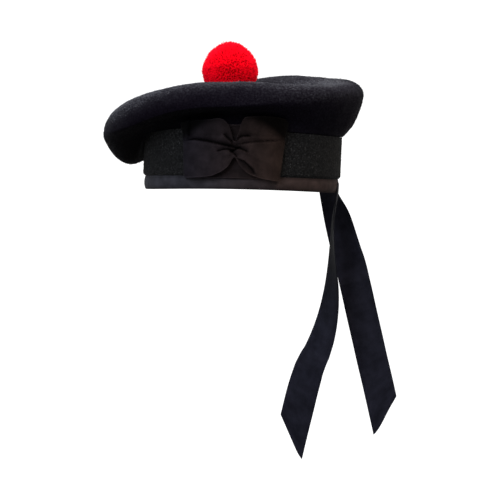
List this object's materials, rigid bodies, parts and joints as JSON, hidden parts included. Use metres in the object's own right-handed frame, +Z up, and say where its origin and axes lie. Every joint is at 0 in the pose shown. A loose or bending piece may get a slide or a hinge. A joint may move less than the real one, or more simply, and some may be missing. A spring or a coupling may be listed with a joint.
{
  "type": "balmoral bonnet",
  "caption": "Soft felted wool balmoral with a drooping crown, woollen headband, ribbon-bound rim, flat ribbon bow on the left, red pompom and ribbon tails at the back.",
  "frame": {"origin": "middle of the head opening, level with the rim's lower edge at the front and back", "axes": "+X towards the back of the head, +Y towards the wearer's right, +Z up; the bow is on the -Y side"},
  "size_m": [0.3119, 0.2575, 0.4306],
  "materials": {
    "crown_felt": "blue-black felted wool with a short nap",
    "band_wool": "coarse black woollen cloth",
    "binding_ribbon": "black ribbed ribbon",
    "bow_ribbon": "black ribbed ribbon with a dull sheen",
    "pompom_wool": "dense red cut wool yarn",
    "tail_ribbon": "black ribbed ribbon with a dull sheen"
  },
  "bodies": {
    "root": {"crown": "crown_felt", "headband": "band_wool", "edge_binding": "binding_ribbon", "bow_ribbon": "bow_ribbon", "pompom": "pompom_wool", "tail_near": "tail_ribbon", "tail_far": "tail_ribbon"}
  },
  "joints": []
}
